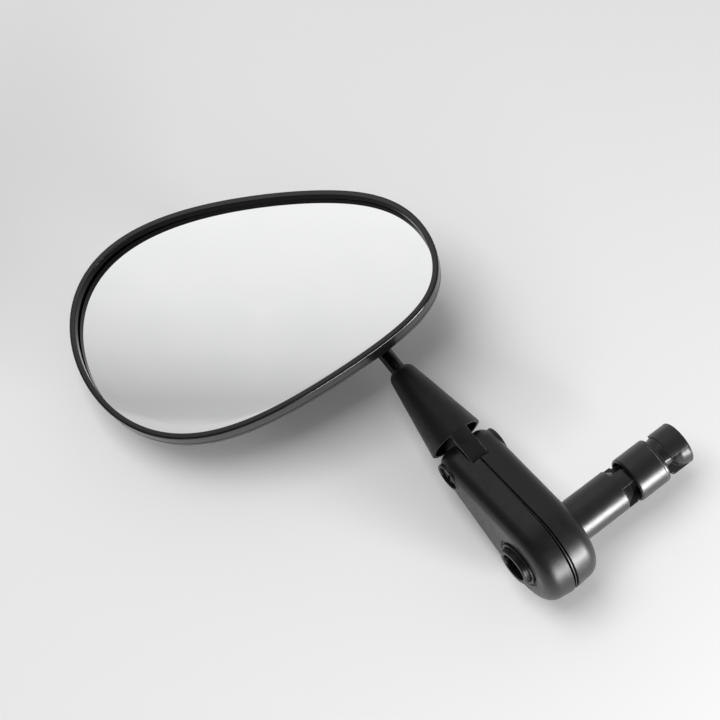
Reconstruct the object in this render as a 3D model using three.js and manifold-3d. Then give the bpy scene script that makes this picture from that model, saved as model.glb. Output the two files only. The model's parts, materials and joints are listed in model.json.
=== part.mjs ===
// Bar-end bicycle mirror: expanding handlebar plug, two-part arm, folding cone, ball stem and mirror head.
// Millimetres. Origin: on the plug's axis, in the plane of the arm's bar-side face.
// +X runs into the handlebar, +Z up along the arm, and the mirror faces -Y.
import * as THREE from 'three';
import { mergeVertices } from 'three/addons/utils/BufferGeometryUtils.js';
import Module from 'manifold-3d';

const wasm = await Module();
wasm.setup();

// Driving dimensions
const gap = 0.3;
const armThickness = 22;
const seamX = -armThickness / 2;
const plugEndRadius = 18.4;
const hingeEndRadius = 8;
const hingeHeight = 38.5;
const armFillet = 5.5;
const tubeRadius = 8;
const tubeEndX = 25.2;
const sleeveRadius = 8.6;
const sleeveStartX = 26.4;
const sleeveEndX = 39.2;
const nutStartX = 41.9;
const nutEndX = 50;
const boreRadius = 5.35;
const collarRadius = 7;
const boltShankRadius = 3;
const hingeScrewRadius = 2.5;
const tongueThickness = 6.8;
const tongueRadius = 9;
const foldAngle = THREE.MathUtils.degToRad(30);
const coneBaseZ = 47.8;
const coneTipZ = 80;
const rodRadius = 2.75;
const ballRadius = 5;
const ballZ = 110;
const rimFrontY = -19.8;
const headTurn = THREE.MathUtils.degToRad(-9.7);
const headLean = THREE.MathUtils.degToRad(10.2);
const headRoll = THREE.MathUtils.degToRad(23.8);

// Materials
function material(color, roughness, metalness) {
  return new THREE.MeshStandardMaterial({ color, roughness, metalness });
}
const satinPlastic = material(0x262626, 0.5, 0);
const glossPlastic = material(0x141414, 0.2, 0);
const steel = material(0x9a9a9a, 0.35, 1);
const blackSteel = material(0x2a2a2c, 0.35, 1);
const foam = material(0x303030, 0.95, 0);
const silverGlass = material(0xdfe3e4, 0.05, 1);

// Solid helpers
function solid(geometry) {
  const bare = geometry.index ? geometry.clone() : geometry;
  bare.deleteAttribute('normal');
  bare.deleteAttribute('uv');
  const merged = mergeVertices(bare, 1e-4);
  return new wasm.Manifold(new wasm.Mesh({
    numProp: 3,
    vertProperties: new Float32Array(merged.attributes.position.array),
    triVerts: new Uint32Array(merged.index.array),
  }));
}

function geometryOf(manifold) {
  const mesh = manifold.getMesh();
  const geometry = new THREE.BufferGeometry();
  geometry.setAttribute('position', new THREE.BufferAttribute(mesh.vertProperties, 3));
  geometry.setIndex(new THREE.BufferAttribute(mesh.triVerts, 1));
  geometry.computeVertexNormals();
  return geometry;
}

function cut(base, ...tools) {
  return tools.reduce((left, tool) => left.subtract(tool), base);
}

// A turned body about the X axis. Profile points are [x, radius], walked from low x to high x on the outside.
function turnedX(profile, segments = 36) {
  const points = profile.map(([x, radius]) => new THREE.Vector2(radius, x));
  return solid(new THREE.LatheGeometry(points, segments).rotateZ(-Math.PI / 2));
}

// The same about the Z axis, with points [z, radius].
function turnedZ(profile, segments = 36) {
  const points = profile.map(([z, radius]) => new THREE.Vector2(radius, z));
  return solid(new THREE.LatheGeometry(points, segments).rotateX(Math.PI / 2));
}

function rod(x0, x1, radius, segments = 36) {
  return turnedX([[x0, 0], [x0, radius], [x1, radius], [x1, 0]], segments);
}

function ring(x0, x1, inner, outer, segments = 36) {
  return turnedX([[x0, inner], [x0, outer], [x1, outer], [x1, inner], [x0, inner]], segments);
}

function block(x0, x1, y0, y1, z0, z1) {
  const box = new THREE.BoxGeometry(x1 - x0, y1 - y0, z1 - z0);
  return solid(box.translate((x0 + x1) / 2, (y0 + y1) / 2, (z0 + z1) / 2));
}

function aboutHinge(body) {
  return body.translate([0, 0, hingeHeight]);
}

// The stem's axis stands in the seam's plane.
function aboutStem(body) {
  return body.translate([seamX, 0, 0]);
}

function turnedBall(radius) {
  return solid(new THREE.SphereGeometry(radius, 24, 14).rotateX(Math.PI / 2));
}

// A prism along X from a flat outline of [y, z] points.
function prismX(outline, x0, x1) {
  const shape = new THREE.Shape(outline.map(([y, z]) => new THREE.Vector2(y, z)));
  const prism = new THREE.ExtrudeGeometry(shape, { depth: x1 - x0, bevelEnabled: false });
  // The extrusion's x, y, z become the part's y, z, x.
  const turn = new THREE.Matrix4().makeBasis(
    new THREE.Vector3(0, 1, 0),
    new THREE.Vector3(0, 0, 1),
    new THREE.Vector3(1, 0, 0),
  );
  return solid(prism.applyMatrix4(turn).translate(x0, 0, 0));
}

// Skin stretched over rings of equal point counts, closed by a flat fan at each end.
// Rings run so that each one turns anticlockwise when seen from the last ring's side.
function loft(rings) {
  const count = rings[0].length;
  const positions = rings.flat(2);
  const index = [];
  for (let row = 0; row + 1 < rings.length; row += 1) {
    for (let k = 0; k < count; k += 1) {
      const next = (k + 1) % count;
      const low = row * count;
      const high = low + count;
      index.push(low + k, low + next, high + next, low + k, high + next, high + k);
    }
  }
  const last = (rings.length - 1) * count;
  for (let k = 1; k + 1 < count; k += 1) {
    index.push(0, k + 1, k, last, last + k, last + k + 1);
  }
  const geometry = new THREE.BufferGeometry();
  geometry.setAttribute('position', new THREE.Float32BufferAttribute(positions, 3));
  geometry.setIndex(index);
  return solid(geometry);
}

const group = new THREE.Group();

function add(name, manifold, look, parent = group) {
  const mesh = new THREE.Mesh(geometryOf(manifold), look);
  mesh.name = name;
  parent.add(mesh);
}

// Arm: one tapered body with rounded side edges, parted at the seam.

// The arm's side outline, drawn in from its full size: two arcs joined by tangents, at one x.
function armRing(x, inset) {
  const lean = Math.asin((plugEndRadius - hingeEndRadius) / hingeHeight);
  const points = [];
  const arc = (radius, centreZ, from, to, steps) => {
    for (let k = 0; k <= steps; k += 1) {
      const angle = from + (to - from) * k / steps;
      points.push([x, radius * Math.cos(angle), centreZ + radius * Math.sin(angle)]);
    }
  };
  arc(hingeEndRadius - inset, hingeHeight, lean, Math.PI - lean, 10);
  arc(plugEndRadius - inset, 0, Math.PI - lean, 2 * Math.PI + lean, 20);
  return points;
}

function armBlank() {
  const steps = 4;
  const rings = [];
  for (let k = 0; k <= steps; k += 1) {
    const angle = Math.PI / 2 * k / steps;
    rings.push(armRing(-armThickness + armFillet * (1 - Math.sin(angle)), armFillet * (1 - Math.cos(angle))));
  }
  rings.reverse();
  const mirrored = rings.map((points) => points.map(([x, y, z]) => [-armThickness - x, y, z])).reverse();
  return loft([...rings, ...mirrored]);
}

// Slot between the arm's halves: clears the tongue over its whole swing.
function tongueSlot() {
  const radius = tongueRadius + 0.4;
  const half = tongueThickness / 2 + gap;
  const outline = [];
  const steps = 16;
  for (let k = 0; k <= steps; k += 1) {
    const angle = -foldAngle - (Math.PI - 2 * foldAngle) * k / steps;
    outline.push([radius * Math.cos(angle), radius * Math.sin(angle)]);
  }
  outline.reverse();
  // Straight flanks rise outwards from the arc, then stand upright beyond the arm's sides.
  const reach = 16;
  const top = 30;
  const rise = (reach - radius * Math.cos(foldAngle)) / Math.tan(foldAngle) - radius * Math.sin(foldAngle);
  outline.push([reach, rise], [reach, top], [-reach, top], [-reach, rise]);
  return aboutHinge(prismX(outline, seamX - half, seamX + half));
}

// From beyond the arm's outer face to beyond its bar-side face.
const through = [-30, 5];
const flangeCavity = { start: -13.9, end: -8.6, radius: 11.4 };
const recess = { floorX: -19.6, radius: 9.5 };
const headPocketX = -19.3;
const nutPocketX = -3.7;
const hingeWasher = { thickness: 0.8, radius: 6 };
const hingeBossRadius = 5.4;
const leftBossProud = 0.3;
const rightBossProud = 0.5;
const screwHeadRadius = 4.1;
const nutCornerRadius = 4.6;

function armHalf(side) {
  const seamGap = gap / 2;
  const far = 60;
  const keep = side === 'left'
    ? block(-far, seamX - seamGap, -far, far, -far, far)
    : block(seamX + seamGap, far, -far, far, -far, far);
  const boss = side === 'left'
    ? aboutHinge(rod(-armThickness - leftBossProud, -armThickness + 6, hingeBossRadius))
    : aboutHinge(rod(-6, rightBossProud, hingeBossRadius));
  const washerReach = tongueThickness / 2 + gap + hingeWasher.thickness + gap;
  const washerSeats = aboutHinge(rod(seamX - washerReach, seamX + washerReach, hingeWasher.radius + gap));
  const body = cut(
    armBlank().intersect(keep).add(boss),
    tongueSlot(),
    washerSeats,
    aboutHinge(rod(...through, hingeScrewRadius + gap, 32)),
    rod(flangeCavity.start, flangeCavity.end, flangeCavity.radius),
  );
  if (side === 'left') {
    return cut(
      body,
      rod(through[0], seamX, collarRadius + gap),
      rod(through[0], recess.floorX, recess.radius),
      aboutHinge(rod(through[0], headPocketX, screwHeadRadius + gap)),
    );
  }
  return cut(
    body,
    rod(seamX, through[1], tubeRadius + gap),
    aboutHinge(rod(nutPocketX, through[1], nutCornerRadius + gap, 6)),
  );
}

add('arm_left_half', armHalf('left'), satinPlastic);
add('arm_right_half', armHalf('right'), satinPlastic);

// Hinge between arm and cone: screw with a cross recess, hex nut and two thin washers.
function hingeScrew() {
  const headX = -21.6;
  const headBackX = headPocketX - gap;
  const screwEndX = -0.2;
  const blank = turnedX([
    [headX, 0], [headX, screwHeadRadius - 0.7], [headX + 0.7, screwHeadRadius], [headBackX, screwHeadRadius],
    [headBackX, hingeScrewRadius], [screwEndX, hingeScrewRadius], [screwEndX, 0],
  ], 32);
  const slotWidth = 0.5;
  const slotReach = 2.2;
  const slotFloorX = headX + 1.2;
  return cut(
    blank,
    block(headX - 1, slotFloorX, -slotWidth, slotWidth, -slotReach, slotReach),
    block(headX - 1, slotFloorX, -slotReach, slotReach, -slotWidth, slotWidth),
  );
}

add('hinge_screw', aboutHinge(hingeScrew()), blackSteel);
const hexNut = cut(rod(nutPocketX + gap, 0, nutCornerRadius, 6), rod(...through, hingeScrewRadius + 0.2, 32));
add('hinge_nut', aboutHinge(hexNut), blackSteel);
for (const [side, sign] of [['left', -1], ['right', 1]]) {
  const near = seamX + sign * (tongueThickness / 2 + gap);
  const away = near + sign * hingeWasher.thickness;
  const low = Math.min(near, away);
  const washer = ring(low, low + hingeWasher.thickness, hingeScrewRadius + gap, hingeWasher.radius, 32);
  add(`hinge_washer_${side}`, aboutHinge(washer), steel);
}

// Plug: the tube in the handlebar, its rings at the arm, and the expander at its end.
const pocketFloorRadius = 6.2;
const pocketWidth = 9.4;

// Pockets in the side of a plug piece, each a flat-floored window seen from outside.
function sidePockets(x0, x1, angles) {
  const pocket = block(x0, x1, pocketFloorRadius, 12, -pocketWidth / 2, pocketWidth / 2);
  return angles.map((angle) => pocket.rotate([angle, 0, 0]));
}

function plugTube() {
  const counterboreEndX = -4.8;
  const flangeStartX = flangeCavity.start + gap;
  const flangeEndX = -10.2;
  const flangeRadius = 11;
  const noseEndX = 31;
  const noseRadius = 5.6;
  const noseStartRadius = 7.3;
  const body = turnedX([
    [flangeStartX, boreRadius + 0.15], [flangeStartX, flangeRadius], [flangeEndX, flangeRadius],
    [flangeEndX, tubeRadius], [tubeEndX, tubeRadius - 0.1], [tubeEndX, noseStartRadius],
    [noseEndX, noseRadius], [noseEndX, boltShankRadius + 0.4], [counterboreEndX, boltShankRadius + 0.4],
    [counterboreEndX, boreRadius + 0.15], [flangeStartX, boreRadius + 0.15],
  ]);
  const pocketStartX = 21.6;
  return cut(body, ...sidePockets(pocketStartX, tubeEndX + 1, [116, 236, 356]));
}

function pivotCollar() {
  const faceX = -24.6;
  const round = 0.6;
  return turnedX([
    [faceX, boreRadius + round], [faceX, collarRadius - round], [faceX + round, collarRadius],
    [-14.2, collarRadius], [-14.2, boreRadius], [faceX + round, boreRadius], [faceX, boreRadius + round],
  ]);
}

add('plug_tube', plugTube(), satinPlastic);
add('pivot_collar', pivotCollar(), satinPlastic);
add('pivot_washer', ring(-21, -19.9, collarRadius + gap, 9.2), satinPlastic);
add('lock_ring', ring(-22.6, -21.3, collarRadius + gap, 8.3), satinPlastic);
add('friction_ring', ring(-9.9, -8.9, tubeRadius + gap, 10.8), blackSteel);

function expanderSleeve() {
  const endInner = 7.7;
  const middleInner = 6.1;
  const middleX = (sleeveStartX + sleeveEndX) / 2;
  const chamfer = 0.5;
  return turnedX([
    [sleeveStartX, endInner], [sleeveStartX, sleeveRadius - chamfer], [sleeveStartX + chamfer, sleeveRadius],
    [sleeveEndX - chamfer, sleeveRadius], [sleeveEndX, sleeveRadius - chamfer], [sleeveEndX, endInner],
    [middleX, middleInner], [sleeveStartX, endInner],
  ]);
}

function wedgeNut() {
  const noseStartX = 35;
  const body = turnedX([
    [noseStartX, boltShankRadius + 0.15], [noseStartX, 5.6], [nutStartX, 7.3], [nutStartX, tubeRadius + 0.1],
    [nutEndX - 0.6, tubeRadius + 0.1], [nutEndX, tubeRadius - 0.5], [nutEndX, boltShankRadius + 0.15],
    [noseStartX, boltShankRadius + 0.15],
  ]);
  return cut(body, ...sidePockets(nutStartX - 1, nutEndX - 1.6, [68, 248]));
}

add('expander_sleeve', expanderSleeve(), satinPlastic);
add('wedge_nut', wedgeNut(), satinPlastic);

// Hex-socket bolt that draws the wedge nut into the sleeve.
function plugBolt() {
  const headX = -12.4;
  const headBackX = -6.4;
  const headRadius = 5;
  const blank = turnedX([
    [headX, 0], [headX, headRadius - 0.4], [headX + 0.4, headRadius], [headBackX, headRadius],
    [headBackX, boltShankRadius], [nutEndX - 1, boltShankRadius], [nutEndX - 1, 0],
  ], 32);
  const keySocketRadius = 2.9;
  const keySocketDepth = 3.4;
  return cut(blank, rod(headX - 1, headX + keySocketDepth, keySocketRadius, 6));
}

add('plug_bolt', plugBolt(), blackSteel);
add('bolt_washer', ring(-6.1, -5.1, boltShankRadius + gap, 5.2, 32), steel);

// Folding cone: turned cone with a flat tongue between the arm's halves.
function hingeCone() {
  const baseRadius = 10.3;
  const tipRadius = 4.9;
  const round = 1.6;
  const rodHoleDepth = 22;
  const cone = turnedZ([
    [coneBaseZ, 0], [coneBaseZ, baseRadius], [coneTipZ - round, tipRadius],
    [coneTipZ - 0.3 * round, tipRadius - 0.35 * round], [coneTipZ, tipRadius - round], [coneTipZ, 0],
  ]);
  const hollowTopZ = coneBaseZ + 3;
  const hollow = turnedZ([
    [coneBaseZ - 1, 0], [coneBaseZ - 1, baseRadius - 1], [hollowTopZ, baseRadius - 1.6], [hollowTopZ, 0],
  ]);
  const half = tongueThickness / 2;
  const neckTopZ = coneBaseZ + 3.2;
  const flareStartZ = hingeHeight + 3.5;
  const flare = turnedZ([
    [flareStartZ, 0], [flareStartZ, tongueRadius], [coneBaseZ, baseRadius], [neckTopZ, baseRadius - 0.6],
    [neckTopZ, 0],
  ]);
  const slab = block(seamX - half, seamX + half, -20, 20, hingeHeight, coneTipZ);
  const neck = block(seamX - half, seamX + half, -tongueRadius, tongueRadius, hingeHeight, neckTopZ);
  const disc = aboutHinge(rod(seamX - half, seamX + half, tongueRadius));
  const holeRadius = rodRadius + 0.1;
  const rodHole = turnedZ([
    [coneTipZ - rodHoleDepth, 0], [coneTipZ - rodHoleDepth, holeRadius], [coneTipZ + 1, holeRadius],
    [coneTipZ + 1, 0],
  ], 32);
  return cut(
    aboutStem(cone.subtract(hollow)).add(neck).add(aboutStem(flare).intersect(slab)).add(disc),
    aboutStem(rodHole),
    aboutHinge(rod(...through, hingeScrewRadius + gap, 32)),
  );
}

add('hinge_cone', hingeCone(), satinPlastic);

// Stem: straight rod ending in the ball that carries the mirror head.
function ballStem() {
  const neckRadius = 2.4;
  const stemStartZ = coneTipZ - 21.7;
  const ballStartZ = ballZ - ballRadius;
  const profile = [
    [stemStartZ, 0], [stemStartZ, rodRadius], [ballStartZ - 1.2, rodRadius], [ballStartZ - 0.4, neckRadius],
  ];
  const steps = 9;
  const start = Math.asin(neckRadius / ballRadius);
  for (let k = 0; k <= steps; k += 1) {
    const angle = start + (Math.PI - start) * k / steps;
    profile.push([ballZ - ballRadius * Math.cos(angle), k === steps ? 0 : ballRadius * Math.sin(angle)]);
  }
  return aboutStem(turnedZ(profile, 24));
}

add('ball_stem', ballStem(), blackSteel);

// Mirror head, in its own frame: origin at the ball, x along the long axis, y to the back, z across.
const head = new THREE.Group();
head.rotation.order = 'ZXY';
head.rotation.set(-headLean, headRoll, headTurn);
head.position.set(seamX, 0, ballZ);
group.add(head);

// Egg-shaped rim outline around its own centre, as a closed curve of three harmonics.
const headCentre = [-22.9, 2.4];
const outlinePoints = 60;

function rimPoint(angle) {
  const { cos, sin } = Math;
  // Millimetres; the outline's centre is the centre of the glass.
  const x = 66.2 * cos(angle) - 6 * cos(2 * angle) + 0.8 * sin(2 * angle) - 0.9 * sin(3 * angle);
  const z = 42.6 * sin(angle) - 7.9 * sin(2 * angle) + 2.9 * sin(3 * angle) - 0.6 * cos(3 * angle);
  return new THREE.Vector2(x, z);
}

// Rim outline at one depth, moved inwards by an even inset and then shrunk about its centre.
function rimRing(inset, depth, scale = 1) {
  const points = [];
  for (let k = 0; k < outlinePoints; k += 1) {
    const angle = -2 * Math.PI * k / outlinePoints;
    const here = rimPoint(angle);
    const tangent = rimPoint(angle + 0.01).sub(rimPoint(angle - 0.01)).normalize();
    const inward = new THREE.Vector2(-tangent.y, tangent.x).multiplyScalar(inset);
    const point = here.add(inward).multiplyScalar(scale);
    const y = typeof depth === 'function' ? depth(point) : depth;
    points.push([headCentre[0] + point.x, y, headCentre[1] + point.y]);
  }
  return points;
}

const lipWidth = 2.2;
const lipDepth = 3;
const rimDepth = 5.4;
const wall = 1.6;
const glassThickness = 1.6;
const glassCurveRadius = 1500;
const glassCentreY = rimFrontY + 2.6;

function mirrorRim() {
  const outside = loft([
    rimRing(0.7, rimFrontY),
    rimRing(0.2, rimFrontY + 0.3),
    rimRing(0, rimFrontY + 0.9),
    rimRing(0, rimFrontY + rimDepth),
  ]);
  const opening = loft([rimRing(lipWidth, rimFrontY - 1), rimRing(lipWidth, rimFrontY + lipDepth + 1)]);
  const seat = loft([
    rimRing(1.1, rimFrontY + lipDepth),
    rimRing(1.1, rimFrontY + rimDepth + 1),
  ]);
  return cut(outside, opening, seat);
}

// Bowl behind the rim: a straight wall, then a quick turn into a shallow dome.
const bowlFrontY = rimFrontY + rimDepth + gap;
const domeY = -7.8;
const bowlProfile = [
  { inset: 0, y: bowlFrontY, scale: 1 },
  { inset: 0.3, y: -11.8, scale: 1 },
  { inset: 1.3, y: -10.4, scale: 1 },
  { inset: 3.6, y: -9.2, scale: 1 },
  { inset: 8, y: -8.4, scale: 1 },
  { inset: 8, y: domeY, scale: 0.72 },
];

const screwHoles = [-10, 10];

function rodY(x, y0, y1, radius) {
  return rod(y0, y1, radius, 24).rotate([0, 0, 90]).translate([x, 0, 0]);
}

function mirrorHousing() {
  const outside = loft(bowlProfile.map(({ inset, y, scale }) => rimRing(inset, y, scale)));
  const inside = loft([
    rimRing(wall, bowlFrontY - 1),
    ...bowlProfile.slice(1).map(({ inset, y, scale }) => rimRing(inset + wall, y - wall, scale)),
  ]);
  return cut(outside, inside, ...screwHoles.map((x) => rodY(x, -20, 0, 1.7)));
}

function glassSheet(inset, frontY, thickness) {
  const bulge = (point) => (point.lengthSq() / (2 * glassCurveRadius));
  const steps = 3;
  const front = [];
  for (let k = 1; k <= steps; k += 1) {
    front.push(rimRing(inset, (point) => frontY + bulge(point), k / steps));
  }
  const back = front.map((points) => points.map(([x, y, z]) => [x, y + thickness, z])).reverse();
  return loft([...front, ...back]);
}

add('mirror_rim', mirrorRim(), glossPlastic, head);
add('mirror_housing', mirrorHousing(), glossPlastic, head);
add('mirror_glass', glassSheet(2, glassCentreY, glassThickness), silverGlass, head);
add('glass_pad', glassSheet(14, glassCentreY + glassThickness + gap, 1), foam, head);

// Ball socket: the cup stands on the housing's back, and the cap ring under it holds the ball.
// The cup's axis follows the stem, so it is turned back from the head's own frame.
const cupRadius = 6.9;
const cavityRadius = ballRadius + 0.2;
const splitZ = -0.45;

function stemAligned(body) {
  const inverse = new THREE.Matrix4().makeRotationFromEuler(head.rotation).invert();
  return body.transform([...inverse.elements]);
}

function socketCup() {
  const cupTopZ = 7.4;
  const chamfer = 1.5;
  const bottomZ = splitZ + gap;
  const cup = turnedZ([
    [bottomZ, 0], [bottomZ, cupRadius], [cupTopZ - chamfer, cupRadius], [cupTopZ, cupRadius - chamfer],
    [cupTopZ, 0],
  ]);
  const footY = domeY + gap;
  const foot = block(-13.5, 13.5, footY, footY + 3.2, -4.5, 4.5);
  const pad = block(-5.5, 5.5, footY, footY + 4.5, 0.8, 5.5);
  const belowCup = turnedZ([[-30, 0], [-30, cupRadius + 1], [bottomZ, cupRadius + 1], [bottomZ, 0]]);
  return cut(
    stemAligned(cup).add(foot).add(pad),
    stemAligned(turnedBall(cavityRadius)),
    stemAligned(belowCup),
    ...screwHoles.map((x) => rodY(x, -20, 0, 1.65)),
  );
}

function socketCap() {
  const bottomZ = -6.2;
  const capRadius = 7.3;
  const blank = turnedZ([
    [bottomZ, 0], [bottomZ, capRadius - 0.6], [bottomZ + 0.6, capRadius], [splitZ, capRadius], [splitZ, 0],
  ]);
  const mouth = turnedZ([[bottomZ - 1, 0], [bottomZ - 1, 6.4], [-3, 4.2], [0, 4.2], [0, 0]]);
  return stemAligned(cut(blank, turnedBall(cavityRadius), mouth));
}

function socketScrew(x) {
  const headY = domeY - wall - 2.2;
  const headRadius = 2.7;
  const shankRadius = 1.4;
  return rodY(x, headY, headY + 1.9, headRadius).add(rodY(x, headY + 1, -5, shankRadius));
}

add('socket_cup', socketCup(), glossPlastic, head);
add('socket_cap', socketCap(), glossPlastic, head);
screwHoles.forEach((x, k) => add(`socket_screw_${k + 1}`, socketScrew(x), steel, head));

export default group;
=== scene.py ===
"""Bar-end bicycle mirror: shown pieces, materials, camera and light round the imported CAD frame.

Shapes are made in millimetres in the frame's own axes and scaled to metres when a piece is finished:
+X runs into the handlebar, +Z up along the arm, and the mirror faces -Y.
"""

import json
import math

import bmesh
import bpy
from mathutils import Matrix, Vector


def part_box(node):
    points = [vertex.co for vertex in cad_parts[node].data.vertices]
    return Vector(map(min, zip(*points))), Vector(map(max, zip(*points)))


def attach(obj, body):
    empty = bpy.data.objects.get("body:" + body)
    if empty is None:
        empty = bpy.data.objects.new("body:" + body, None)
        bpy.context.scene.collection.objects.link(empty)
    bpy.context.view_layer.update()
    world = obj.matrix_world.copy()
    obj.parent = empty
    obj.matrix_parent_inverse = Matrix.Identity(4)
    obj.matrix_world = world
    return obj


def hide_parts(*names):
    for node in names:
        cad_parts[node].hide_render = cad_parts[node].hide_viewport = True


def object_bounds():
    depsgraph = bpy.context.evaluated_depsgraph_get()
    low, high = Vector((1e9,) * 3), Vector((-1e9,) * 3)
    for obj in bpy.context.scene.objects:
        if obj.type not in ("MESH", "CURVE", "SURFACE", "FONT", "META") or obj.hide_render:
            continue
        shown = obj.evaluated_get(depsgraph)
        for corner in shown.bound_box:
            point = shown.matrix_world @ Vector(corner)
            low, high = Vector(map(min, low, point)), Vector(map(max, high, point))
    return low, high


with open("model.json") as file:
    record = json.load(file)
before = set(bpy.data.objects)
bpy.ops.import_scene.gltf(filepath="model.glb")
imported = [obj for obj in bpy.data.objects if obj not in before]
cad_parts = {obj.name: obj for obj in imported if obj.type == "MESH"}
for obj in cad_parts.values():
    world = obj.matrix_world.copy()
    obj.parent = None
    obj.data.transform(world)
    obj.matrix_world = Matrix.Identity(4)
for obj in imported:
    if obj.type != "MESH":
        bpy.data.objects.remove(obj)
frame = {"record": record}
cad_low, cad_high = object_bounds()

MM = 0.001
RECORD = frame["record"]
BODY_OF = {node: body for body, nodes in RECORD["behaviour"]["bodies"].items() for node in nodes}
ABOUT_Z = Matrix.Rotation(-math.pi / 2, 4, "Y")


def box_mm(node):
    """Lowest and highest corner of a CAD node, in millimetres."""
    low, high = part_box(node)
    return low / MM, high / MM


# Corners of the node boxes that the frame gives

ARM_LOW, ARM_HIGH = box_mm("arm_left_half")
WASHER_LOW, WASHER_HIGH = box_mm("hinge_washer_left")
STEM_LOW, STEM_HIGH = box_mm("ball_stem")
TUBE_LOW, TUBE_HIGH = box_mm("plug_tube")
SLEEVE_LOW, SLEEVE_HIGH = box_mm("expander_sleeve")
NUT_LOW, NUT_HIGH = box_mm("wedge_nut")
COLLAR_LOW, COLLAR_HIGH = box_mm("pivot_collar")
CONE_LOW, CONE_HIGH = box_mm("hinge_cone")
SCREW_LOW, SCREW_HIGH = box_mm("hinge_screw")
BOLT_LOW, BOLT_HIGH = box_mm("plug_bolt")

# The design's dimensions, worked out from those boxes where a box can tell them

GAP = 0.3
SEAM_X = (STEM_LOW.x + STEM_HIGH.x) / 2
PLUG_END_RADIUS = -ARM_LOW.z
HINGE_Z = (WASHER_LOW.z + WASHER_HIGH.z) / 2
HINGE_END_RADIUS = ARM_HIGH.z - HINGE_Z
ARM_FILLET = 5.5
BOSS_RADIUS = 5.4
BOSS_DEPTH = 6
LEFT_BOSS_PROUD = 0.3
RIGHT_BOSS_PROUD = 0.5
TONGUE_THICKNESS = 6.8
TONGUE_RADIUS = HINGE_Z - CONE_LOW.z
FOLD_ANGLE = math.radians(30)
HINGE_WASHER_RADIUS = (WASHER_HIGH.z - WASHER_LOW.z) / 2
HINGE_BORE_RADIUS = 2.8
RECESS_RADIUS = 9.5
RECESS_FLOOR_X = -19.6
SCREW_FLOOR_X = -19.3
THROUGH = (-30, 5)
SCREW_HEAD_RADIUS = (SCREW_HIGH.z - SCREW_LOW.z) / 2
CONE_BASE_Z = 47.8
CONE_TIP_Z = CONE_HIGH.z
ROD_RADIUS = 2.75
BALL_RADIUS = 5.0
BALL_CENTRE = Vector((SEAM_X, 0, STEM_HIGH.z - BALL_RADIUS))
TUBE_RADIUS = 8.0
COLLAR_RADIUS = COLLAR_HIGH.z
BORE_RADIUS = 5.35
BOLT_RADIUS = 3.0
TUBE_POCKET_ANGLES = [math.radians(angle) for angle in (116, 236, 356)]
NUT_POCKET_ANGLES = [math.radians(angle) for angle in (68, 248)]


# Mesh tools, in millimetres

FULL_TURN = 96
CORNER_STEPS = 4


def mesh_from(points, faces):
    """Mesh of the given points and faces, with its normals outwards."""
    mesh = bpy.data.meshes.new("shape")
    mesh.from_pydata([tuple(point) for point in points], [], faces)
    bm = bmesh.new()
    bm.from_mesh(mesh)
    bmesh.ops.remove_doubles(bm, verts=bm.verts, dist=1e-4)
    bmesh.ops.recalc_face_normals(bm, faces=bm.faces)
    bm.to_mesh(mesh)
    bm.free()
    return mesh


def rounded(corners, closed):
    """Section outline from (a, b) or (a, b, rounding) corners, each rounding a short arc at its corner."""
    points = []
    for k, corner in enumerate(corners):
        here = Vector(corner[:2])
        size = corner[2] if len(corner) > 2 else 0
        if size == 0 or (not closed and k in (0, len(corners) - 1)):
            points.append(here)
            continue
        before = Vector(corners[k - 1][:2]) - here
        after = Vector(corners[(k + 1) % len(corners)][:2]) - here
        start = here + before.normalized() * min(size, before.length / 2)
        end = here + after.normalized() * min(size, after.length / 2)
        for step in range(CORNER_STEPS + 1):
            share = step / CORNER_STEPS
            points.append(start.lerp(here, share).lerp(here.lerp(end, share), share))
    return points


def skin(rings, closed=False, capped=True):
    """Faces stretched over rings of equal point counts, closed into a loop or capped at both ends."""
    count = len(rings[0])
    points = [point for ring in rings for point in ring]
    faces = []
    for row in range(len(rings) if closed else len(rings) - 1):
        low = row * count
        high = (row + 1) % len(rings) * count
        for k in range(count):
            following = (k + 1) % count
            faces.append((low + k, low + following, high + following, high + k))
    if capped and not closed:
        faces.append(tuple(range(count)))
        faces.append(tuple(len(points) - count + k for k in range(count)))
    return mesh_from(points, faces)


def turned(corners, segments=FULL_TURN):
    """Body turned about X from (x, radius, rounding) corners: a ring, or solid if it ends on the axis."""
    closed = corners[0][1] > 0
    rings = []
    for x, radius in rounded(corners, closed):
        angles = [2 * math.pi * k / segments for k in range(segments)]
        rings.append([(x, radius * math.cos(angle), radius * math.sin(angle)) for angle in angles])
    if closed:
        return skin(rings, closed=True)
    return skin(rings[1:-1])


def rod(x0, x1, radius, rounding=0, segments=FULL_TURN):
    return turned([(x0, 0), (x0, radius, rounding), (x1, radius, rounding), (x1, 0)], segments)


def ring(x0, x1, inner, outer, rounding=0.15):
    corners = [(x0, inner), (x0, outer), (x1, outer), (x1, inner)]
    return turned([(x, radius, rounding) for x, radius in corners])


def moved(mesh, matrix):
    mesh.transform(matrix)
    return mesh


def about_hinge(mesh):
    return moved(mesh, Matrix.Translation((0, 0, HINGE_Z)))


def about_stem(mesh):
    """A body turned about X, stood up along the stem's axis."""
    return moved(mesh, Matrix.Translation((SEAM_X, 0, 0)) @ ABOUT_Z)


def block(low, high):
    (x0, y0, z0), (x1, y1, z1) = low, high
    floor = [(x0, y0, z0), (x1, y0, z0), (x1, y1, z0), (x0, y1, z0)]
    return skin([floor, [(x, y, z1) for x, y, _ in floor]])


def prism_x(outline, x0, x1):
    """Prism along X from an outline of (y, z) points."""
    return skin([[(x, y, z) for y, z in outline] for x in (x0, x1)])


def evaluated_mesh(piece):
    """Copy of an object's mesh with its modifiers applied."""
    return bpy.data.meshes.new_from_object(piece.evaluated_get(bpy.context.evaluated_depsgraph_get()))


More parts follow.
